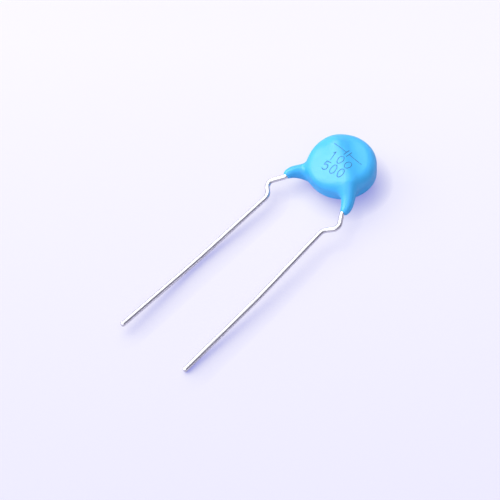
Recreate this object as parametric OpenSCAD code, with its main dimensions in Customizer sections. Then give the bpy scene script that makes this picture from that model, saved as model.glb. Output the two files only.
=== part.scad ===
// Ceramic disc capacitor with kinked radial leads, dipped in epoxy.
// It lies on its rear face: cut ends of the leads toward -Y, disc toward +Y,
// printed front face up.

/* [Ceramic] */
// Diameter of the fired ceramic disc
ceramic_d = 5.2; // [4.4:0.1:6.4]
// Thickness of the fired ceramic disc
ceramic_t = 1.6; // [1.2:0.05:2.2]
// Bare ceramic left outside each electrode
electrode_margin = 0.3; // [0.2:0.05:0.5]
// Thickness of each fired silver electrode
electrode_t = 0.02; // [0.01:0.005:0.04]

/* [Coating] */
// Coating outside the edge of the ceramic
rim_cover = 0.79; // [0.6:0.01:1.2]
// Coating over the middle of each electrode
face_cover = 0.93; // [0.8:0.01:1.3]
// How far each face falls from its middle to the rim
face_dome = 0.2; // [0.1:0.05:0.5]
// Slope of each face beside its wire, down toward the gap between the legs
gap_slope = 0.12; // [0:0.01:0.2]
// Share of the half thickness that the round of the rim takes
rim_share = 0.8; // [0.5:0.05:1]
// Coating around each wire at its inner end
crown_cover = 0.68; // [0.5:0.01:0.8]
// Coating around each wire where it leaves the face
ridge_cover = 0.45; // [0.35:0.01:0.7]
// Coating around each wire at the elbow of its leg
leg_cover = 0.46; // [0.32:0.01:0.6]
// Coating around each wire at the tip of its leg
tip_cover = 0.2; // [0.12:0.01:0.3]
// Size of the fillet between the disc and its legs
leg_fillet = 1; // [0.6:0.1:1.6]
// How far the leg tips stand below the rim of the disc
leg_reach = 0.86; // [0.7:0.02:1.4]
// Depth of the small flat that the part rests on
belly_flat = 0.02; // [0.01:0.005:0.05]

/* [Solder] */
// Height of the wires above their electrodes, filled with solder
solder_gap = 0.04; // [0.02:0.01:0.08]
// Width of each bead of solder on its electrode
solder_w = 1.3; // [1.1:0.05:1.6]
// Height of each bead of solder
solder_h = 0.4; // [0.3:0.02:0.5]
// Length of each bead of solder
solder_l = 3.2; // [2.6:0.1:3.6]

/* [Leads] */
// Diameter of the tinned wire
wire_d = 0.5; // [0.4:0.05:0.65]
// Distance between the wires where they leave the leg tips
tip_pitch = 7.16; // [6.8:0.02:8.4]
// Drop from the outer corner of each kink to its inner corner
neck_drop = 1.13; // [0.9:0.01:1.5]

/* [Front lead] */
// Distance from the middle line to the outer corner of the kink
front_kink_out = 4.45; // [4.2:0.05:5.4]
// Distance from the middle line to the inner corner of the kink
front_neck_out = 3.4; // [3.2:0.05:3.9]
// How far the kink stands off the middle plane, toward the lead's own face
front_kink_offset = 0.1; // [0:0.02:0.7]
// Drop from the leg tip to the outer corner of the kink
front_kink_drop = 1.46; // [1.3:0.02:2.2]
// Drop from the leg tip to the cut end
front_length = 22.2; // [12:0.1:30]
// Outward lean of the straight part above its middle, in degrees
front_lean_upper = 1.9; // [-3:0.1:3]
// Outward lean below the middle
front_lean_lower = -0.3; // [-3:0.1:3]
// Lean toward the lead's own face above the middle
front_rise_upper = -0.2; // [-4:0.1:4]
// Lean toward the lead's own face below the middle
front_rise_lower = -0.4; // [-10:0.1:4]

/* [Rear lead] */
// Distance from the middle line to the outer corner of the kink
rear_kink_out = 4.75; // [4.2:0.05:5.4]
// Distance from the middle line to the inner corner of the kink
rear_neck_out = 3.55; // [3.2:0.05:3.9]
// How far the kink stands off the middle plane, toward the lead's own face
rear_kink_offset = 0.54; // [0:0.02:0.7]
// Drop from the leg tip to the outer corner of the kink
rear_kink_drop = 1.4; // [1.3:0.02:2.2]
// Drop from the leg tip to the cut end
rear_length = 22.7; // [12:0.1:30]
// Outward lean of the straight part above its middle, in degrees
rear_lean_upper = 1.4; // [-3:0.1:3]
// Outward lean below the middle
rear_lean_lower = -1.3; // [-3:0.1:3]
// Lean toward the lead's own face above the middle
rear_rise_upper = 0.3; // [-4:0.1:4]
// Lean toward the lead's own face below the middle
rear_rise_lower = -8; // [-10:0.1:4]

/* [Hidden] */
$fn = 48;

coat_colour = "#4db8f5";
ceramic_colour = "#d8c8a8";
silver_colour = "#d9dadb";
solder_colour = "#b9bcc0";
tin_colour = "#d3d4d6";

// The part is drawn with the centre of the ceramic at the origin, the leads
// toward -Y and the front face toward +Z. lie() sets it down at the end.
front = 1;
rear = -1;
wire_r = wire_d / 2;
electrode_d = ceramic_d - 2 * electrode_margin;
electrode_z = ceramic_t / 2 + electrode_t;
body_r = ceramic_d / 2 + rim_cover;
body_h = electrode_z + face_cover;

// Route of the front wire. It lies on its electrode, runs out over the edge of
// the ceramic, comes down toward the middle plane at the elbow of the leg and
// leaves at the leg tip. The rear wire is the same turned half round about Y.
run_angle = 35;        // slope of the wire across the face, down toward +X
run_low = 0.12;        // the wire passes this far below the centre
run_end = 1.65;        // from the centre of the face to the wire's inner end
edge_clear = 0.15;     // level wire past the edge of the ceramic
elbow_in = 0.16;       // elbow of the leg, inward from the tip
elbow_up = 1.3;        // elbow of the leg, up from the tip
elbow_z = 0.2;         // height of the wire at the elbow
tip_z = 0.18;          // height of the wire at the leg tip
wire_z = electrode_z + solder_gap + wire_r;
tip_y = -body_r - leg_reach;
run_dir = [cos(run_angle), -sin(run_angle), 0];
run_middle = [0, -run_low, wire_z];
inner_end = run_middle - run_end * run_dir;
face_exit = run_middle + (ceramic_d / 2 + edge_clear) * run_dir;
elbow = [tip_pitch / 2 - elbow_in, tip_y + elbow_up, elbow_z];
tip = [tip_pitch / 2, tip_y, tip_z];

// Points of a wire's route from its inner end to its cut end; leans and rises
// are the pairs of angles above and below the middle of the straight part
function lead_points(kink_out, neck_out, offset, kink_drop, length, leans, rises) =
    let (kink = [kink_out, tip_y - kink_drop, offset],
         neck = [neck_out, kink.y - neck_drop, offset],
         half = (length - kink_drop - neck_drop) / 2,
         middle = neck + half * [tan(leans[0]), -1, tan(rises[0])])
    [inner_end, face_exit, elbow, tip, kink, neck, middle,
     middle + half * [tan(leans[1]), -1, tan(rises[1])]];

// Bend radius at each point of the route between its two ends
bend_radii = [0.6, 2.2, 1.0, 0.78, 1.2, 40];
front_points =
    lead_points(front_kink_out, front_neck_out, front_kink_offset, front_kink_drop, front_length,
                [front_lean_upper, front_lean_lower], [front_rise_upper, front_rise_lower]);
rear_points =
    lead_points(rear_kink_out, rear_neck_out, rear_kink_offset, rear_kink_drop, rear_length,
                [rear_lean_upper, rear_lean_lower], [rear_rise_upper, rear_rise_lower]);
end_bevel = 0.04;
joint_overlap = 0.03;
bend_wire_r = 0.99 * wire_r;

// Outer surface of the coating, as a distance field: a round-edged disc
// blended with a sleeve along each wire, which curves and tapers down the leg.
// A face of the disc falls a little toward the rim, and more on the side of
// its wire that looks toward the gap between the legs.
leg_stretches = 5;
gap_way = [run_dir.y, -run_dir.x];
crest_w = 0.6;         // rounding between the two sides of a face
crown_r = wire_r + crown_cover;
ridge_r = wire_r + ridge_cover;
leg_r = wire_r + leg_cover;
tip_r = wire_r + tip_cover;
leg_path = [for (i = [0:leg_stretches])
               bezier(face_exit, elbow, tip + [0, tip_r, 0], i / leg_stretches)];
leg_radii = [for (i = [0:leg_stretches]) bezier(ridge_r, leg_r, tip_r, i / leg_stretches)];

function bezier(a, b, c, t) = (1 - t) * (1 - t) * a + 2 * t * (1 - t) * b + t * t * c;

function unit(v) = v / norm(v);

function last_of(list) = list[len(list) - 1];

function turned_point(p) = [-p.x, p.y, -p.z];

function clamp01(t) = max(0, min(1, t));

function blend(a, b, size) =
    let (near = max(size - abs(a - b), 0) / size)
    min(a, b) - near * near * size / 4;

// Half the thickness of the disc at a point, without the rounding of its rim
function half_h(p, r) =
    let (own_side = [p.z < 0 ? -p.x : p.x, p.y],
         aside = max(0, min(body_r, own_side * gap_way)))
    body_h - face_dome * pow(min(r / body_r, 1), 2)
           - gap_slope * aside * aside / (aside + crest_w);

function round_disc(p) =
    let (r = norm([p.x, p.y]), h = half_h(p, r), rim = rim_share * h,
         out = r - (body_r - rim), up = abs(p.z) - (h - rim))
    norm([max(out, 0), max(up, 0)]) + min(max(out, up), 0) - rim;

function sleeve(p, a, b, a_r, b_r) =
    let (ab = b - a, t = clamp01((p - a) * ab / (ab * ab)))
    norm(p - a - t * ab) - a_r - t * (b_r - a_r);

function leg(p) =
    min([sleeve(p, inner_end, face_exit, crown_r, ridge_r),
         for (i = [1:leg_stretches])
             sleeve(p, leg_path[i - 1], leg_path[i], leg_radii[i - 1], leg_radii[i])]);

function coat(p) = blend(round_disc(p), min(leg(p), leg(turned_point(p))), leg_fillet);

// Walks in along a ray from outside until it meets the coating
skin_reach = norm(tip) + 1;
skin_tolerance = 0.0005;
skin_steps = 60;

function meet(ray, r = skin_reach, steps = 0) =
    let (gap = coat(r * ray))
    gap < skin_tolerance || steps > skin_steps ? r : meet(ray, r - gap, steps + 1);

// Rays from the centre: turn goes round from +X, rise goes up from the middle
// plane. They are closer together where the legs are.
fine_step = 2.5;
coarse_step = 7;
legs_from = 22;        // below +X and below -X
legs_to = 67;
legs_rise = 20;
turns = concat([for (a = [-legs_to:fine_step:-legs_from]) a],
               [for (a = [coarse_step - legs_from:coarse_step:179 + legs_from]) a],
               [for (a = [180 + legs_from:fine_step:180 + legs_to]) a],
               [for (a = [180 + legs_to + coarse_step:coarse_step:359 - legs_to]) a]);
rows = concat([for (a = [coarse_step - 90:coarse_step:-legs_rise - 1]) a],
              [for (a = [-legs_rise:fine_step:legs_rise]) a],
              [for (a = [legs_rise + coarse_step:coarse_step:89]) a]);

function direction(turn, rise) = [cos(turn) * cos(rise), sin(turn) * cos(rise), sin(rise)];

skin = concat([[0, 0, -meet([0, 0, -1])]],
              [for (rise = rows, turn = turns) let (ray = direction(turn, rise)) ray * meet(ray)],
              [[0, 0, meet([0, 0, 1])]]);

// Attitude at rest: the flat on the belly of the coating and the cut end of
// the front lead are both on the floor.
front_end = last_of(front_points);
rear_end = turned_point(last_of(rear_points));
settle_steps = 8;

function height(p, tilt) = p.y * sin(tilt) + p.z * cos(tilt);

function forward(p, tilt) = p.y * cos(tilt) - p.z * sin(tilt);

function belly(tilt) = min([for (p = skin) height(p, tilt)]) + belly_flat;

function settle(tilt = 0, steps = 0) =
    steps == settle_steps ? tilt :
    settle(asin((belly(tilt) + wire_r - front_end.z * cos(tilt)) / front_end.y), steps + 1);

rest_tilt = settle();
rest_z = -belly(rest_tilt);
rest_y = -(max([for (p = skin) forward(p, rest_tilt)])
           + min(forward(front_end, rest_tilt), forward(rear_end, rest_tilt))) / 2;

module lie() {
    translate([0, rest_y, rest_z]) rotate([rest_tilt, 0, 0]) children();
}

module under_floor() {
    translate([-skin_reach, rest_y - skin_reach, -skin_reach]) cube([2, 2, 1] * skin_reach);
}

module turned(side) {
    rotate([0, side == front ? 0 : 180, 0]) children();
}

module aim(from, way) {
    translate(from) rotate([0, acos(way.z), atan2(way.y, way.x)]) children();
}

// Bent stretch of wire that turns it from one way to the next
module bend(start, into, away, radius) {
    angle = acos(into * away);
    side = unit(away - (into * away) * into);
    axis = cross(into, side);
    centre = start + radius * side;
    multmatrix([[-side.x, into.x, axis.x, centre.x],
                [-side.y, into.y, axis.y, centre.y],
                [-side.z, into.z, axis.z, centre.z]])
        rotate_extrude(angle = angle) translate([radius, 0]) circle(r = bend_wire_r);
}

// Straight runs and bends in turn. Each run reaches a little way round the
// bends at its ends, which are a hair thinner, and the far end is cut square
// with a small bevel.
module wire(points, radii) {
    last = len(points) - 1;
    ways = [for (i = [0:last - 1]) unit(points[i + 1] - points[i])];
    cuts = [0, for (i = [1:last - 1]) radii[i - 1] * tan(acos(ways[i - 1] * ways[i]) / 2), 0];
    starts = [for (i = [0:last - 1]) points[i] + cuts[i] * ways[i]];
    ends = [for (i = [0:last - 1]) points[i + 1] - cuts[i + 1] * ways[i]];
    for (i = [0:last - 2]) {
        overlap = i == 0 ? 0 : joint_overlap;
        aim(starts[i] - overlap * ways[i], ways[i])
            cylinder(r = wire_r, h = norm(ends[i] - starts[i]) + overlap + joint_overlap);
        bend(ends[i], ways[i], ways[i + 1], radii[i]);
    }
    final_run = norm(ends[last - 1] - starts[last - 1]);
    aim(starts[last - 1], ways[last - 1])
        rotate_extrude()
            polygon([[0, -joint_overlap], [wire_r, -joint_overlap], [wire_r, final_run - end_bevel],
                     [wire_r - end_bevel, final_run], [0, final_run]]);
}

module disc(d, z0, z1) {
    translate([0, 0, z0]) cylinder(d = d, h = z1 - z0);
}

module ceramic() {
    disc(ceramic_d, -ceramic_t / 2, ceramic_t / 2);
}

module electrode(side) {
    turned(side) disc(electrode_d, ceramic_t / 2, electrode_z);
}

module lead(side) {
    turned(side) wire(side == front ? front_points : rear_points, bend_radii);
}

// Mound of solder along the wire on its electrode, without the wire's channel
module mound() {
    mound_r = (solder_w * solder_w / 4 + solder_h * solder_h) / (2 * solder_h);
    mound_step = 10;
    middle = inner_end + run_dir * (run_end + electrode_d / 2) / 2;
    difference() {
        translate([middle.x, middle.y, electrode_z + solder_h - mound_r])
            rotate([0, 90, -run_angle]) rotate_extrude()
                polygon([for (a = [-90:mound_step:90]) [mound_r * cos(a), solder_l / 2 * sin(a)]]);
        translate([-ceramic_d, -ceramic_d, electrode_z - 2 * ceramic_d]) cube(2 * ceramic_d);
    }
}

module solder(side) {
    turned(side) difference() {
        mound();
        aim(inner_end, run_dir) cylinder(r = wire_r, h = 2 * run_end);
    }
}

module coat_skin() {
    n = len(turns);
    m = len(rows);
    top = n * m + 1;
    faces = concat([for (i = [0:n - 1]) [0, 1 + i, 1 + (i + 1) % n]],
                   [for (j = [0:m - 2], i = [0:n - 1], half = [0, 1])
                       let (a = 1 + j * n + i, b = 1 + j * n + (i + 1) % n)
                       half == 0 ? [a, a + n, b + n] : [a, b + n, b]],
                   [for (i = [0:n - 1]) [top - n + i, top, top - n + (i + 1) % n]]);
    polyhedron(skin, faces);
}

module epoxy_coating() {
    color(coat_colour) difference() {
        lie() difference() {
            coat_skin();
            ceramic();
            for (side = [front, rear]) {
                electrode(side);
                turned(side) mound();
                lead(side);
            }
        }
        under_floor();
    }
}

module ceramic_disc() {
    color(ceramic_colour) lie() ceramic();
}

module front_electrode() {
    color(silver_colour) lie() electrode(front);
}

module rear_electrode() {
    color(silver_colour) lie() electrode(rear);
}

module front_solder() {
    color(solder_colour) lie() solder(front);
}

module rear_solder() {
    color(solder_colour) lie() solder(rear);
}

module front_lead() {
    color(tin_colour) lie() lead(front);
}

module rear_lead() {
    color(tin_colour) lie() lead(rear);
}

epoxy_coating();
ceramic_disc();
front_electrode();
rear_electrode();
front_solder();
rear_solder();
front_lead();
rear_lead();
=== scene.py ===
import math

import bpy
from mathutils import Matrix, Vector


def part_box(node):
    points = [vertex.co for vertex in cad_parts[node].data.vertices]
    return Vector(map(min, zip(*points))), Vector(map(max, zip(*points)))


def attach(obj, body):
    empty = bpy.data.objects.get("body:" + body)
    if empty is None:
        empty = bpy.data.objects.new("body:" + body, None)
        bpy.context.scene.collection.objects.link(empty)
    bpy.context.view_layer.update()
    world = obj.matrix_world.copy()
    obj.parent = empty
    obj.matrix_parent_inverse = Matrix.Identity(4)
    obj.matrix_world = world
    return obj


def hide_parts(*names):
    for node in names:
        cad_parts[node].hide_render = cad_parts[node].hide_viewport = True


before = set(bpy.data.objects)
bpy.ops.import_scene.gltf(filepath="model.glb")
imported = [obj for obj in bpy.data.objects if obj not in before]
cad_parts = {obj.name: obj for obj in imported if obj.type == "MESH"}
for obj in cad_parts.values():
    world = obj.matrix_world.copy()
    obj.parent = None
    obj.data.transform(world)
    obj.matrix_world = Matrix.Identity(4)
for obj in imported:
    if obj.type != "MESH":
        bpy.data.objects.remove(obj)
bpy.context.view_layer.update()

MM = 0.001


# ---------------------------------------------------------------- sizes
# Millimetres, in the part's own frame: centre of the ceramic at the origin,
# leads toward -Y, printed front face toward +Z.

WIRE_R = 0.25
BODY_R = 3.39            # radius of the dipped disc
BODY_H = 1.72            # half its thickness at the middle
FACE_DOME = 0.3          # how far a face falls from its middle to the rim
GAP_SLOPE = 0.2          # slope of a face beside its wire, down toward the gap between the legs
CREST_WIDTH = 0.6        # rounding between the two sides of a face
RIM_SHARE = 0.62         # share of the half thickness that the round of the edge takes
CROWN_R = 0.93           # epoxy round a wire at its inner end
RIDGE_R = 0.7            # the same where the wire leaves the face
LEG_R = 0.71             # the same at the elbow of a leg
TIP_R = 0.45             # the same at the tip of a leg
LEG_FILLET = 1.0         # round where a leg leaves the disc
LEG_DROP = 0.86          # how far the tip of a leg lies past the edge of the disc
LEG_OUT = 3.58           # how far it lies to the side
LEG_RISE = 0.18          # how far it lies toward its own face
ELBOW_FROM_TIP = (-0.16, 1.3, 0.02)
RUN_BACK = 1.65          # from the middle of a wire's run on the face back to its inner end
RUN_ON = 2.75            # from the same middle on to where the wire leaves the face
TIP_Y = -BODY_R - LEG_DROP

RUN_ANGLE = math.radians(35)
RUN = Vector((math.cos(RUN_ANGLE), -math.sin(RUN_ANGLE), 0))
RUN_MIDDLE = Vector((0, -0.12, 1.11))
INNER_END = RUN_MIDDLE - RUN_BACK * RUN
FACE_EXIT = RUN_MIDDLE + RUN_ON * RUN
TIP = Vector((LEG_OUT, TIP_Y, LEG_RISE))
ELBOW = TIP + Vector(ELBOW_FROM_TIP)
NECK_DROP = 1.13         # from the kink of a lead down to where its straight part starts
# Bend radii at a route's corners: face exit, elbow, tip, kink, neck and middle of the straight part
BEND_RADII = (0.6, 2.2, 1.0, 0.78, 1.2, 40)


def slope(degrees):
    return math.tan(math.radians(degrees))


def lead_route(kink_out, neck_out, offset, kink_drop, length, leans, rises):
    """Corners of a wire's route from its inner end to its cut end. leans and rises are pairs of angles,
    for the two halves of the straight part."""
    kink = Vector((kink_out, TIP_Y - kink_drop, offset))
    neck = Vector((neck_out, kink.y - NECK_DROP, offset))
    half = (length - kink_drop - NECK_DROP) / 2
    middle = neck + half * Vector((slope(leans[0]), -1, slope(rises[0])))
    end = middle + half * Vector((slope(leans[1]), -1, slope(rises[1])))
    return [INNER_END, FACE_EXIT, ELBOW, TIP, kink, neck, middle, end]


FRONT_ROUTE = lead_route(kink_out=4.45, neck_out=3.4, offset=0.1, kink_drop=1.46, length=22.2,
                         leans=(1.9, -0.3), rises=(-0.2, -0.4))
REAR_ROUTE = lead_route(kink_out=4.75, neck_out=3.55, offset=0.54, kink_drop=1.4, length=22.7,
                        leans=(1.4, -1.3), rises=(0.3, -8))


def centre_of(node):
    low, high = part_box(node)
    return (Vector(low) + Vector(high)) / 2


# The electrodes lie on the two faces of the ceramic, so the line between them is the part's own Z
across = centre_of("front_electrode") - centre_of("rear_electrode")
LIES = (Matrix.Translation(centre_of("ceramic_disc"))
        @ Matrix.Rotation(math.atan2(-across.y, across.z), 4, "X") @ Matrix.Scale(MM, 4))


def linear(hex_colour):
    """A colour written in sRGB hex, as the linear values that a socket takes."""
    parts = [int(hex_colour[i:i + 2], 16) / 255 for i in (1, 3, 5)]
    return tuple(c / 12.92 if c <= 0.04045 else ((c + 0.055) / 1.055) ** 2.4 for c in parts) + (1,)


# ---------------------------------------------------------------- node trees

def result(node):
    """The output of a node that its settings leave in use."""
    return next(s for s in node.outputs if s.enabled)


def add(tree, kind, *inputs, named=None, **settings):
    """Adds one node with its settings. inputs go to its sockets in order and named ones by name:
    a node or a socket is linked, None is left, anything else is set."""
    node = tree.nodes.new(kind)
    for key, value in settings.items():
        setattr(node, key, value)
    given = list(zip([s for s in node.inputs if s.enabled], inputs))
    given += [(node.inputs[label], value) for label, value in (named or {}).items()]
    for slot, value in given:
        if isinstance(value, bpy.types.Node):
            value = result(value)
        if isinstance(value, bpy.types.NodeSocket):
            tree.links.new(value, slot)
        elif value is not None:
            slot.default_value = value
    return node


def new_tree(name, inputs, outputs):
    """A geometry tree with named sockets, each a (name, type) pair. Gives the tree, what it is given by name,
    and the sockets that take its results."""
    tree = bpy.data.node_groups.new(name, "GeometryNodeTree")
    for way, sockets in (("INPUT", inputs), ("OUTPUT", outputs)):
        for label, kind in sockets:
            tree.interface.new_socket(label, in_out=way, socket_type="NodeSocket" + kind)
    return tree, tree.nodes.new("NodeGroupInput").outputs, tree.nodes.new("NodeGroupOutput").inputs


def finish_tree(tree, skin, material, out):
    """Every tree ends the same way: smooth, real, and in its material."""
    smooth = add(tree, "GeometryNodeSetShadeSmooth", skin)
    real = add(tree, "GeometryNodeRealizeInstances", smooth)
    done = add(tree, "GeometryNodeSetMaterial", real, named={"Material": material})
    tree.links.new(done.outputs[0], out)


def grown(name, tree, sizes, base=None):
    """A plain mesh object: the tree grown on the base mesh with the given named inputs."""
    seed = bpy.data.objects.new(name + ".seed", base or bpy.data.meshes.new(name))
    bpy.context.scene.collection.objects.link(seed)
    modifier = seed.modifiers.new(name, "NODES")
    modifier.node_group = tree
    sockets = {s.name: s.identifier for s in tree.interface.items_tree if s.in_out == "INPUT"}
    for label, value in sizes.items():
        modifier[sockets[label]] = value
    mesh = bpy.data.meshes.new_from_object(seed.evaluated_get(bpy.context.evaluated_depsgraph_get()))
    seed.modifiers.remove(modifier)
    bpy.data.objects.remove(seed)
    mesh.name = name
    piece = bpy.data.objects.new(name, mesh)
    bpy.context.scene.collection.objects.link(piece)
    return piece


# ---------------------------------------------------------------- coating

def sleeve_tree():
    """Distance from a point to a tapered sleeve round the stretch from A to B."""
    tree, given, out = new_tree(
        "Tapered sleeve",
        [("Point", "Vector"), ("A", "Vector"), ("Radius A", "Float"), ("B", "Vector"), ("Radius B", "Float")],
        [("Distance", "Float")])
    stretch = add(tree, "ShaderNodeVectorMath", given["B"], given["A"], operation="SUBTRACT")
    from_a = add(tree, "ShaderNodeVectorMath", given["Point"], given["A"], operation="SUBTRACT")
    dot = add(tree, "ShaderNodeVectorMath", from_a, stretch, operation="DOT_PRODUCT").outputs["Value"]
    square = add(tree, "ShaderNodeVectorMath", stretch, stretch, operation="DOT_PRODUCT").outputs["Value"]
    along = add(tree, "ShaderNodeMath", dot, square, operation="DIVIDE", use_clamp=True)
    foot = add(tree, "ShaderNodeVectorMath", stretch, operation="SCALE", named={"Scale": along})
    off = add(tree, "ShaderNodeVectorMath", from_a, foot, operation="DISTANCE").outputs["Value"]
    radius = add(tree, "ShaderNodeMix", along, given["Radius A"], given["Radius B"])
    tree.links.new(add(tree, "ShaderNodeMath", off, radius, operation="SUBTRACT").outputs[0], out["Distance"])
    return tree


def bow_tree():
    """The place a given share of the way along a bow from Start past Corner to End, and the radius there."""
    tree, given, out = new_tree(
        "Bow",
        [("Start", "Vector"), ("Corner", "Vector"), ("End", "Vector"),
         ("Start radius", "Float"), ("Corner radius", "Float"), ("End radius", "Float"), ("Share", "Float")],
        [("Point", "Vector"), ("Radius", "Float")])
    for label, kind, suffix in (("Point", "VECTOR", ""), ("Radius", "FLOAT", " radius")):
        start, corner, end = (given[place + suffix] for place in ("Start", "Corner", "End"))
        first = add(tree, "ShaderNodeMix", given["Share"], start, corner, data_type=kind)
        second = add(tree, "ShaderNodeMix", given["Share"], corner, end, data_type=kind)
        both = add(tree, "ShaderNodeMix", given["Share"], first, second, data_type=kind)
        tree.links.new(result(both), out[label])
    return tree


LEG_STRETCHES = 12
LEG_SOCKETS = [("Point", "Vector"), ("Inner end", "Vector"), ("Face exit", "Vector"), ("Elbow", "Vector"),
               ("Tip", "Vector"), ("Crown radius", "Float"), ("Ridge radius", "Float"),
               ("Leg radius", "Float"), ("Tip radius", "Float")]


def leg_tree():
    """Distance to one leg: the epoxy round a wire, straight along the face, then bowed down to the tip."""
    sleeve, bow = sleeve_tree(), bow_tree()
    tree, given, out = new_tree("Leg of the coating", LEG_SOCKETS, [("Distance", "Float")])
    inside_tip = add(tree, "ShaderNodeVectorMath", given["Tip"],
                     add(tree, "ShaderNodeCombineXYZ", 0.0, given["Tip radius"]), operation="ADD")
    before = (given["Face exit"], given["Ridge radius"])
    whole = add(tree, "GeometryNodeGroup", node_tree=sleeve, named={
        "Point": given["Point"], "A": given["Inner end"], "Radius A": given["Crown radius"],
        "B": given["Face exit"], "Radius B": given["Ridge radius"]})
    for i in range(1, LEG_STRETCHES + 1):
        place = add(tree, "GeometryNodeGroup", node_tree=bow, named={
            "Start": given["Face exit"], "Corner": given["Elbow"], "End": inside_tip,
            "Start radius": given["Ridge radius"], "Corner radius": given["Leg radius"],
            "End radius": given["Tip radius"], "Share": i / LEG_STRETCHES})
        stretch = add(tree, "GeometryNodeGroup", node_tree=sleeve, named={
            "Point": given["Point"], "A": before[0], "Radius A": before[1],
            "B": place.outputs["Point"], "Radius B": place.outputs["Radius"]})
        whole = add(tree, "ShaderNodeMath", whole, stretch, operation="MINIMUM")
        before = (place.outputs["Point"], place.outputs["Radius"])
    tree.links.new(whole.outputs[0], out["Distance"])
    return tree


FIELD_SOCKETS = LEG_SOCKETS + [("Disc radius", "Float"), ("Half thickness", "Float"), ("Face dome", "Float"),
                               ("Gap way", "Vector"), ("Gap slope", "Float"), ("Crest width", "Float"),
                               ("Rim share", "Float"), ("Fillet", "Float")]


def field_tree():
    """Distance to the whole coating: a round-edged disc smoothly joined to its two legs. Each face domes a
    little and slopes away from its wire toward the gap between the legs. Half a turn about Y takes one face
    and leg to the other."""
    leg = leg_tree()
    tree, given, out = new_tree("Dipped coating distance", FIELD_SOCKETS, [("Distance", "Float")])
    split = add(tree, "ShaderNodeSeparateXYZ", given["Point"])
    flat = add(tree, "ShaderNodeCombineXYZ", split.outputs["X"], split.outputs["Y"])
    around = add(tree, "ShaderNodeVectorMath", flat, operation="LENGTH").outputs["Value"]
    up = add(tree, "ShaderNodeMath", split.outputs["Z"], operation="ABSOLUTE")
    share = add(tree, "ShaderNodeMath", around, given["Disc radius"], operation="DIVIDE", use_clamp=True)
    square = add(tree, "ShaderNodeMath", share, share, operation="MULTIPLY")
    dome = add(tree, "ShaderNodeMath", given["Face dome"], square, operation="MULTIPLY")
    face_up = add(tree, "ShaderNodeMath", split.outputs["Z"], operation="SIGN")
    own_x = add(tree, "ShaderNodeMath", split.outputs["X"], face_up, operation="MULTIPLY")
    own = add(tree, "ShaderNodeCombineXYZ", own_x, split.outputs["Y"])
    across = add(tree, "ShaderNodeVectorMath", own, given["Gap way"], operation="DOT_PRODUCT")
    aside = add(tree, "ShaderNodeClamp", across.outputs["Value"], 0.0, given["Disc radius"])
    aside_squared = add(tree, "ShaderNodeMath", aside, aside, operation="MULTIPLY")
    past_crest = add(tree, "ShaderNodeMath", aside, given["Crest width"], operation="ADD")
    eased = add(tree, "ShaderNodeMath", aside_squared, past_crest, operation="DIVIDE")
    slant = add(tree, "ShaderNodeMath", eased, given["Gap slope"], operation="MULTIPLY")
    fall = add(tree, "ShaderNodeMath", dome, slant, operation="ADD")
    face = add(tree, "ShaderNodeMath", given["Half thickness"], fall, operation="SUBTRACT")
    rim = add(tree, "ShaderNodeMath", face, given["Rim share"], operation="MULTIPLY")
    core_r = add(tree, "ShaderNodeMath", given["Disc radius"], rim, operation="SUBTRACT")
    core_h = add(tree, "ShaderNodeMath", face, rim, operation="SUBTRACT")
    past_r = add(tree, "ShaderNodeMath", around, core_r, operation="SUBTRACT")
    past_h = add(tree, "ShaderNodeMath", up, core_h, operation="SUBTRACT")
    beyond = add(tree, "ShaderNodeCombineXYZ", add(tree, "ShaderNodeMath", past_r, 0.0, operation="MAXIMUM"),
                 add(tree, "ShaderNodeMath", past_h, 0.0, operation="MAXIMUM"))
    corner = add(tree, "ShaderNodeVectorMath", beyond, operation="LENGTH").outputs["Value"]
    deeper = add(tree, "ShaderNodeMath", past_r, past_h, operation="MAXIMUM")
    inside = add(tree, "ShaderNodeMath", deeper, 0.0, operation="MINIMUM")
    core = add(tree, "ShaderNodeMath", corner, inside, operation="ADD")
    disc = add(tree, "ShaderNodeMath", core, rim, operation="SUBTRACT")
    turned = add(tree, "ShaderNodeVectorMath", given["Point"], (-1, 1, -1), operation="MULTIPLY")
    legs = [add(tree, "GeometryNodeGroup", node_tree=leg,
                named={label: point if label == "Point" else given[label] for label, _ in LEG_SOCKETS})
            for point in (given["Point"], turned)]
    both = add(tree, "ShaderNodeMath", legs[0], legs[1], operation="MINIMUM")
    whole = add(tree, "ShaderNodeMath", disc, both, given["Fillet"], operation="SMOOTH_MIN")
    tree.links.new(whole.outputs[0], out["Distance"])
    return tree


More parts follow.
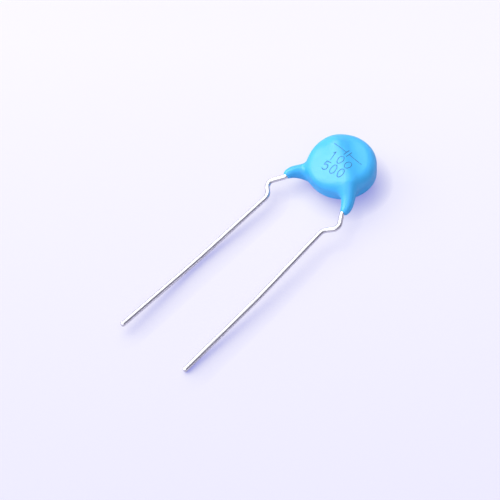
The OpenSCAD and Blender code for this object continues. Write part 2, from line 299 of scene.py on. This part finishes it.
def coating_tree():
    """Skin of the coating: the zero surface of the distance field, meshed on a fine grid, drawn onto the
    field and evened. Slow noise leaves it as uneven as a skin that flowed and set."""
    field = field_tree()
    own = [("Low corner", "Vector"), ("High corner", "Vector"), ("Grid step", "Float"),
           ("Ripple length", "Float"), ("Ripple height", "Float"), ("Material", "Material")]
    tree, given, out = new_tree("Dipped coating", [("Geometry", "Geometry")] + FIELD_SOCKETS[1:] + own,
                                [("Geometry", "Geometry")])
    here = add(tree, "GeometryNodeInputPosition")
    distance = add(tree, "GeometryNodeGroup", node_tree=field,
                   named={label: here if label == "Point" else given[label] for label, _ in FIELD_SOCKETS})
    span = add(tree, "ShaderNodeVectorMath", given["High corner"], given["Low corner"], operation="SUBTRACT")
    step = add(tree, "ShaderNodeCombineXYZ", given["Grid step"], given["Grid step"], given["Grid step"])
    cells = add(tree, "ShaderNodeVectorMath", span, step, operation="DIVIDE")
    counts = add(tree, "ShaderNodeSeparateXYZ", cells)
    on_skin = 1.0
    density = add(tree, "ShaderNodeMath", on_skin, distance, operation="SUBTRACT")
    grid = add(tree, "GeometryNodeVolumeCube", density, 0.0, given["Low corner"], given["High corner"],
               counts.outputs["X"], counts.outputs["Y"], counts.outputs["Z"])
    skin = add(tree, "GeometryNodeVolumeToMesh", grid, named={"Threshold": on_skin})
    normal = add(tree, "GeometryNodeInputNormal")
    draws, blurs = 2, 4
    for _ in range(draws):
        push = add(tree, "ShaderNodeVectorMath", normal, operation="SCALE",
                   named={"Scale": add(tree, "ShaderNodeMath", distance, -1.0, operation="MULTIPLY")})
        skin = add(tree, "GeometryNodeSetPosition", skin, named={"Offset": push})
    even = add(tree, "GeometryNodeBlurAttribute", here, data_type="FLOAT_VECTOR", named={"Iterations": blurs})
    skin = add(tree, "GeometryNodeSetPosition", skin, named={"Position": even})
    noise = add(tree, "ShaderNodeTexNoise", named={
        "Vector": here, "Detail": 1.0,
        "Scale": add(tree, "ShaderNodeMath", 1.0, given["Ripple length"], operation="DIVIDE")})
    centred = add(tree, "ShaderNodeMath", noise.outputs[0], 0.5, operation="SUBTRACT")
    height = add(tree, "ShaderNodeMath", centred, given["Ripple height"], operation="MULTIPLY")
    ripple = add(tree, "ShaderNodeVectorMath", normal, operation="SCALE", named={"Scale": height})
    skin = add(tree, "GeometryNodeSetPosition", skin, named={"Offset": ripple})
    finish_tree(tree, skin, given["Material"], out["Geometry"])
    return tree


# Blender's smooth minimum bulges a sixth of its size where the CAD's fillet bulges a quarter
SMOOTH = 1.5
COAT_SIZES = {
    "Inner end": INNER_END, "Face exit": FACE_EXIT, "Elbow": ELBOW, "Tip": TIP,
    "Crown radius": CROWN_R, "Ridge radius": RIDGE_R, "Leg radius": LEG_R, "Tip radius": TIP_R,
    "Disc radius": BODY_R, "Half thickness": BODY_H, "Face dome": FACE_DOME,
    "Gap way": (-math.sin(RUN_ANGLE), -math.cos(RUN_ANGLE), 0), "Gap slope": GAP_SLOPE,
    "Crest width": CREST_WIDTH, "Rim share": RIM_SHARE, "Fillet": SMOOTH * LEG_FILLET,
    "Low corner": (-4.6, -4.9, -2.6), "High corner": (4.6, 3.9, 2.6), "Grid step": 0.07,
    "Ripple length": 1.6, "Ripple height": 0.03,
}


# ---------------------------------------------------------------- leads

def wire_tree():
    """A wire along a route of straight runs, bent to each corner's own radius, with a small round at its
    cut end."""
    tree, given, out = new_tree(
        "Bent wire",
        [("Geometry", "Geometry"), ("Wire radius", "Float"), ("Segments round", "Int"),
         ("Steps a bend", "Int"), ("Step length", "Float"), ("End round", "Float"), ("Material", "Material")],
        [("Geometry", "Geometry")])
    route = add(tree, "GeometryNodeMeshToCurve", given["Geometry"])
    bend = add(tree, "GeometryNodeInputNamedAttribute", "bend", data_type="FLOAT")
    bent = add(tree, "GeometryNodeFilletCurve", route, mode="POLY",
               named={"Radius": bend.outputs[0], "Limit Radius": True, "Count": given["Steps a bend"]})
    length = add(tree, "GeometryNodeSplineParameter").outputs["Length"]
    total = add(tree, "GeometryNodeSplineLength").outputs["Length"]
    left = add(tree, "ShaderNodeMath", total, length, operation="SUBTRACT")
    share = add(tree, "ShaderNodeMath", left, given["End round"], operation="DIVIDE", use_clamp=True)
    short = add(tree, "ShaderNodeMath", 1.0, share, operation="SUBTRACT")
    square = add(tree, "ShaderNodeMath", short, short, operation="MULTIPLY")
    arch = add(tree, "ShaderNodeMath", add(tree, "ShaderNodeMath", 1.0, square, operation="SUBTRACT"),
               operation="SQRT")
    end_r = add(tree, "ShaderNodeMath", given["Wire radius"], given["End round"], operation="SUBTRACT")
    round_r = add(tree, "ShaderNodeMath", given["End round"], arch, operation="MULTIPLY")
    radius = add(tree, "ShaderNodeMath", end_r, round_r, operation="ADD")
    fine = add(tree, "GeometryNodeResampleCurve", bent, mode="LENGTH", named={"Length": given["Step length"]})
    around = add(tree, "GeometryNodeCurvePrimitiveCircle", given["Segments round"], mode="RADIUS",
                 named={"Radius": 1.0})
    tube = add(tree, "GeometryNodeCurveToMesh", fine, around, named={"Fill Caps": True, "Scale": radius})
    finish_tree(tree, tube, given["Material"], out["Geometry"])
    return tree


def route_mesh(name, points, side):
    """The route of a lead as a chain of edges, with the bend radius of each corner."""
    mesh = bpy.data.meshes.new(name)
    corners = [(side * x, y, side * z) for x, y, z in points]
    mesh.from_pydata(corners, [(i, i + 1) for i in range(len(corners) - 1)], [])
    bends = mesh.attributes.new("bend", "FLOAT", "POINT")
    bends.data.foreach_set("value", [0, *BEND_RADII, 0])
    return mesh


# ---------------------------------------------------------------- marking

GLYPH_W = 0.56           # width and height of a digit, to the middle of its strokes
GLYPH_H = 0.86
ADVANCE = 0.92           # from one digit to the next
ROW_PITCH = 1.08
MARK_CENTRE = (0.28, -0.5)


def arc(x, y, rx, ry, start, end, steps=24):
    """Points along part of an ellipse, in degrees anticlockwise from +X."""
    angles = [math.radians(start + (end - start) * i / steps) for i in range(steps + 1)]
    return [(x + rx * math.cos(a), y + ry * math.sin(a)) for a in angles]


def zero():
    return [arc(0, 0, GLYPH_W / 2, GLYPH_H / 2, 90, 450)]


def one():
    """A stem with a short flag."""
    flag = 0.18
    return [[(-flag, GLYPH_H / 2 - flag), (0, GLYPH_H / 2), (0, -GLYPH_H / 2)]]


def five():
    """A flat top, a back that leans a little, and a round bowl set a little to the left."""
    lean, back_end, bowl, bowl_x = 0.06, 0.2, 0.28, -0.02
    low = bowl - GLYPH_H / 2
    return [[(GLYPH_W / 2, GLYPH_H / 2), (-GLYPH_W / 2 + lean, GLYPH_H / 2), (-GLYPH_W / 2, low + back_end)]
            + arc(bowl_x, low, bowl, bowl, start=125, end=-130)]


def capacitor_sign():
    """The plain circuit sign: two plates side by side, each with its lead."""
    gap, reach = 0.16, 1.7
    return [[(side * reach, 0), (side * gap, 0)] for side in (-1, 1)] + [
        [(side * gap, -GLYPH_H / 2), (side * gap, GLYPH_H / 2)] for side in (-1, 1)]


def row(*glyphs):
    """Strokes of a row of digits, centred on the origin."""
    return [[(x + ADVANCE * (i - (len(glyphs) - 1) / 2), y) for x, y in line]
            for i, glyph in enumerate(glyphs) for line in glyph]


def mark_mesh():
    """The strokes of the marking as chains of edges on the plane z = 0, in three rows."""
    rows = (capacitor_sign(), row(one(), zero(), zero()), row(five(), zero(), zero()))
    points, edges = [], []
    for i, lines in enumerate(rows):
        for line in lines:
            edges += [(len(points) + j, len(points) + j + 1) for j in range(len(line) - 1)]
            points += [(MARK_CENTRE[0] + x, MARK_CENTRE[1] + y + ROW_PITCH * (1 - i), 0) for x, y in line]
    mesh = bpy.data.meshes.new("Marking_strokes")
    mesh.from_pydata(points, edges, [])
    return mesh


def mark_tree():
    """Flat strokes of ink that follow the strokes given to it, laid down onto the skin under them."""
    tree, given, out = new_tree(
        "Inked marking",
        [("Geometry", "Geometry"), ("Skin", "Object"), ("Above", "Float"), ("Stroke width", "Float"),
         ("Ink height", "Float"), ("Step length", "Float"), ("Material", "Material")],
        [("Geometry", "Geometry")])
    lines = add(tree, "GeometryNodeMeshToCurve", given["Geometry"])
    fine = add(tree, "GeometryNodeResampleCurve", lines, mode="LENGTH",
               named={"Length": given["Step length"]})
    section = add(tree, "GeometryNodeCurvePrimitiveQuadrilateral", given["Stroke width"], given["Ink height"],
                  mode="RECTANGLE")
    strokes = add(tree, "GeometryNodeCurveToMesh", fine, section, named={"Fill Caps": True})
    place = add(tree, "GeometryNodeInputPosition")
    own_z = add(tree, "ShaderNodeSeparateXYZ", place).outputs["Z"]
    raised = add(tree, "ShaderNodeCombineXYZ", 0.0, 0.0, given["Above"])
    above = add(tree, "ShaderNodeVectorMath", place, raised, operation="ADD")
    skin = add(tree, "GeometryNodeObjectInfo", given["Skin"]).outputs["Geometry"]
    ray = add(tree, "GeometryNodeRaycast", skin, named={
        "Source Position": above, "Ray Direction": (0, 0, -1), "Ray Length": 10.0})
    lift = add(tree, "ShaderNodeCombineXYZ", 0.0, 0.0, own_z)
    laid = add(tree, "ShaderNodeVectorMath", ray.outputs["Hit Position"], lift, operation="ADD")
    strokes = add(tree, "GeometryNodeSetPosition", strokes, named={"Position": laid})
    finish_tree(tree, strokes, given["Material"], out["Geometry"])
    return tree


# ---------------------------------------------------------------- finishes

def new_material(name):
    material = bpy.data.materials.new(name)
    material.use_nodes = True
    return material, material.node_tree, material.node_tree.nodes["Principled BSDF"]


def epoxy():
    """Dipped epoxy: sky blue, a thick skin that flowed before it set, so it is smooth and half glossy, with
    slow clouds of tone and a faint orange peel."""
    cloud_size, peel_size, peel_height = 1.4 * MM, 0.35 * MM, 0.012 * MM
    material, tree, skin = new_material("Dipped_epoxy_blue")
    place = add(tree, "ShaderNodeTexCoord").outputs["Object"]
    cloud = add(tree, "ShaderNodeTexNoise", named={"Vector": place, "Scale": 1 / cloud_size, "Detail": 3.0})
    tint = add(tree, "ShaderNodeMix", cloud.outputs[0], linear("#34AFF9"), linear("#42B8FD"),
               data_type="RGBA")
    tree.links.new(result(tint), skin.inputs["Base Color"])
    peel = add(tree, "ShaderNodeTexNoise", named={"Vector": place, "Scale": 1 / peel_size, "Detail": 2.0})
    bump = add(tree, "ShaderNodeBump", named={
        "Height": peel.outputs[0], "Distance": peel_height, "Strength": 0.6})
    tree.links.new(bump.outputs[0], skin.inputs["Normal"])
    skin.inputs["Roughness"].default_value = 0.4
    skin.inputs["IOR"].default_value = 1.55
    return material


def grained(name, low, high, size, metallic, smooth, rough, relief=0.0, stretch=(1, 1, 1)):
    """A finish of two tones in grains of the given size in mm, with a roughness between smooth and rough that
    varies with them. stretch makes the grains longer one way, and relief is their height in mm."""
    material, tree, skin = new_material(name)
    place = add(tree, "ShaderNodeTexCoord").outputs["Object"]
    shape = tuple(1 / (size * MM * way) for way in stretch)
    on_grains = add(tree, "ShaderNodeVectorMath", place, shape, operation="MULTIPLY")
    grain = add(tree, "ShaderNodeTexNoise", named={"Vector": on_grains, "Scale": 1.0, "Detail": 3.0})
    tone = add(tree, "ShaderNodeMix", grain.outputs[0], linear(low), linear(high), data_type="RGBA")
    tree.links.new(result(tone), skin.inputs["Base Color"])
    noise_low, noise_high = 0.25, 0.75
    dull = add(tree, "ShaderNodeMapRange", grain.outputs[0], noise_low, noise_high, smooth, rough)
    tree.links.new(dull.outputs[0], skin.inputs["Roughness"])
    if relief:
        bump = add(tree, "ShaderNodeBump", named={"Height": grain.outputs[0], "Distance": relief * MM})
        tree.links.new(bump.outputs[0], skin.inputs["Normal"])
    skin.inputs["Metallic"].default_value = metallic
    return material


# ---------------------------------------------------------------- build

inner = {
    # dense buff titanate, left as it came from the kiln: matt, with a faint speckle
    "ceramic": grained("Fired_titanate_ceramic", "#CDBB98", "#E2D5B8", size=0.12, metallic=0.0,
                       smooth=0.75, rough=0.9, relief=0.004),
    # silver paste screened on and fired: matt, with a fine grain
    "silver": grained("Fired_silver", "#C6C7C9", "#E6E7E8", size=0.05, metallic=1.0,
                      smooth=0.42, rough=0.6, relief=0.002),
    # solder that wetted the wire and froze: bright, with dull patches
    "solder": grained("Tin_solder", "#ABAEB3", "#C9CCD0", size=0.3, metallic=1.0,
                      smooth=0.25, rough=0.42, relief=0.006)}
for node, kind in (("ceramic_disc", "ceramic"), ("front_electrode", "silver"), ("rear_electrode", "silver"),
                   ("front_solder", "solder"), ("rear_solder", "solder")):
    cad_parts[node].data.materials.clear()
    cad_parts[node].data.materials.append(inner[kind])

coat = grown("Dipped_coating", coating_tree(), {**COAT_SIZES, "Material": epoxy()})
# stamped ink: matt, darker than the epoxy and uneven, as if thin in places
ink = grained("Marking_ink", "#2A6CA8", "#3F86C4", size=0.1, metallic=0.0, smooth=0.6, rough=0.75)
mark = grown("Inked_marking", mark_tree(), {
    "Skin": coat, "Above": 3.0, "Stroke width": 0.08, "Ink height": 0.02, "Step length": 0.05,
    "Material": ink}, mark_mesh())
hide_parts("epoxy_coating")
pieces = [(coat, "epoxy"), (mark, "epoxy")]

wire = wire_tree()
# copper wire tinned and drawn through a die: bright, with lines along it, coarser than life so that they show
wire_tin = grained("Tinned_copper_wire", "#DCDCE2", "#F0F0F5", size=0.04, metallic=1.0,
                   smooth=0.14, rough=0.26, relief=0.0015, stretch=(1, 60, 1))
for name, points, side in (("front_lead", FRONT_ROUTE, 1), ("rear_lead", REAR_ROUTE, -1)):
    lead = grown("Tinned_" + name, wire, {
        "Wire radius": WIRE_R, "Segments round": 48, "Steps a bend": 24, "Step length": 0.1,
        "End round": 0.08, "Material": wire_tin}, route_mesh(name, points, side))
    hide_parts(name)
    pieces.append((lead, "tinned_wire"))
for piece, slot in pieces:
    piece.data.transform(LIES)
    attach(piece, "root")


# ---------------------------------------------------------------- studio

def floor():
    """Pale lavender paper. The camera sees it as a backdrop: a glow that turns darker and cooler toward the
    front, a painted fall-off of light; a painted blue shadow close to the part, on the side away from the
    main lamps;
    and the lamps' own light with its shadows. All other rays see plain paper."""
    half = 0.6
    fade_way, fade_from, fade_to = (0.6, -0.8, 0), -25 * MM, 45 * MM
    to_lamps, shade_reach = (-0.74, -0.3, 0.6), 2.2 * MM
    mesh = bpy.data.meshes.new("Floor")
    corners = [(-half, -half, 0), (half, -half, 0), (half, half, 0), (-half, half, 0)]
    mesh.from_pydata(corners, [], [(0, 1, 2, 3)])
    top = bpy.data.objects.new("Floor", mesh)
    bpy.context.scene.collection.objects.link(top)
    material, tree, skin = new_material("Floor_paper")
    out = next(n for n in tree.nodes if n.type == "OUTPUT_MATERIAL")
    tree.nodes.remove(skin)
    paper = add(tree, "ShaderNodeBsdfDiffuse", linear("#C2BFD6"))
    place = add(tree, "ShaderNodeTexCoord").outputs["Object"]
    forward = add(tree, "ShaderNodeVectorMath", place, fade_way, operation="DOT_PRODUCT").outputs["Value"]
    # painted fall-off of light: the glow turns darker toward the front
    painted_falloff = add(tree, "ShaderNodeMapRange", forward, fade_from, fade_to)
    tone = add(tree, "ShaderNodeMix", painted_falloff, linear("#D6D5F4"), linear("#C3C3F2"), data_type="RGBA")
    # painted shadow: occlusion looked for toward the lamps turns the glow blue close to the part
    open_side = add(tree, "ShaderNodeAmbientOcclusion", samples=16, named={
        "Distance": shade_reach, "Normal": add(tree, "ShaderNodeCombineXYZ", *to_lamps)}).outputs["AO"]
    with_painted_shadow = add(tree, "ShaderNodeMix", open_side, linear("#4654C8"), tone, data_type="RGBA")
    glow = add(tree, "ShaderNodeEmission", with_painted_shadow, 1.0)
    shown = add(tree, "ShaderNodeBsdfDiffuse", linear("#7E7C5A"))
    seen = add(tree, "ShaderNodeLightPath").outputs["Is Camera Ray"]
    both = add(tree, "ShaderNodeAddShader", shown, glow)
    tree.links.new(add(tree, "ShaderNodeMixShader", seen, paper, both).outputs[0], out.inputs["Surface"])
    mesh.materials.append(material)
    return top


floor()

world = bpy.data.worlds.new("Studio")
bpy.context.scene.world = world
world.use_nodes = True


def studio(tree):
    """A pale room that lights the part faintly and evenly. The camera and the gloss see it brighter, with a
    grey curtain on its +X side that gives the wires a darker side."""
    room_light = 0.42
    # the curtain fades in below its top, above its foot and past its near edge, each a part of the way looked
    curtain_edges = (("Z", (0.9, 0.66)), ("Z", (-0.1, 0.02)), ("X", (0.1, 0.6)))
    out = next(n for n in tree.nodes if n.type == "OUTPUT_WORLD")
    way = add(tree, "ShaderNodeSeparateXYZ", add(tree, "ShaderNodeTexCoord").outputs["Generated"])
    curtain = 1.0
    for axis, edges in curtain_edges:
        edge = add(tree, "ShaderNodeMapRange", way.outputs[axis], *edges, 0.0, 1.0,
                   interpolation_type="SMOOTHSTEP")
        curtain = add(tree, "ShaderNodeMath", edge, curtain, operation="MULTIPLY")
    shade = add(tree, "ShaderNodeMix", curtain, linear("#E2E1EA"), linear("#7C7A88"), data_type="RGBA")
    path = add(tree, "ShaderNodeLightPath")
    seen = add(tree, "ShaderNodeMath", path.outputs["Is Camera Ray"], path.outputs["Is Glossy Ray"],
               operation="MAXIMUM")
    room = add(tree, "ShaderNodeBackground", linear("#F6F5FF"), room_light)
    shown = add(tree, "ShaderNodeBackground", shade, 1.0)
    tree.links.new(add(tree, "ShaderNodeMixShader", seen, room, shown).outputs[0], out.inputs["Surface"])
    tree.nodes.remove(tree.nodes["Background"])


studio(world.node_tree)


def softbox(name, azimuth, elevation, distance, size, power, colour="#FFFFFF"):
    """A square lamp that looks at the part, with its distance and size in metres and its power in watts.
    Azimuth 0 is on the -Y side, as the camera's is."""
    lamp = bpy.data.lights.new(name, "AREA")
    lamp.shape, lamp.size, lamp.energy = "SQUARE", size, power
    lamp.color = linear(colour)[:3]
    holder = bpy.data.objects.new(name, lamp)
    a, e = math.radians(azimuth), math.radians(elevation)
    way = Vector((math.sin(a) * math.cos(e), -math.cos(a) * math.cos(e), math.sin(e)))
    holder.location = way * distance
    holder.rotation_euler = way.to_track_quat("Z", "Y").to_euler()
    bpy.context.scene.collection.objects.link(holder)


softbox("Key_softbox", azimuth=-60, elevation=42, distance=0.5, size=0.4, power=2.2, colour="#FFFBF4")
softbox("Side_softbox", azimuth=-118, elevation=52, distance=0.6, size=0.45, power=1.9, colour="#FFFDF8")
softbox("Fill_softbox", azimuth=45, elevation=50, distance=0.6, size=0.5, power=0.8)


def camera(azimuth, elevation, distance, aim, lens):
    """The camera, at a distance in mm from the point that it looks at."""
    eye = bpy.data.objects.new("Camera", bpy.data.cameras.new("Camera"))
    a, e = math.radians(azimuth), math.radians(elevation)
    back = Vector((math.sin(a) * math.cos(e), -math.cos(a) * math.cos(e), math.sin(e)))
    eye.location = (Vector(aim) + back * distance) * MM
    eye.rotation_mode = "QUATERNION"
    eye.rotation_quaternion = (-back).to_track_quat("-Z", "Y")
    eye.data.lens, eye.data.sensor_width = lens, 36
    eye.data.clip_start, eye.data.clip_end = 0.01, 10
    bpy.context.scene.collection.objects.link(eye)
    bpy.context.scene.camera = eye


camera(azimuth=41.8, elevation=53.4, distance=171, aim=(-1.0432, -0.395, 0), lens=129.6)
bpy.context.scene.view_settings.view_transform = "Standard"
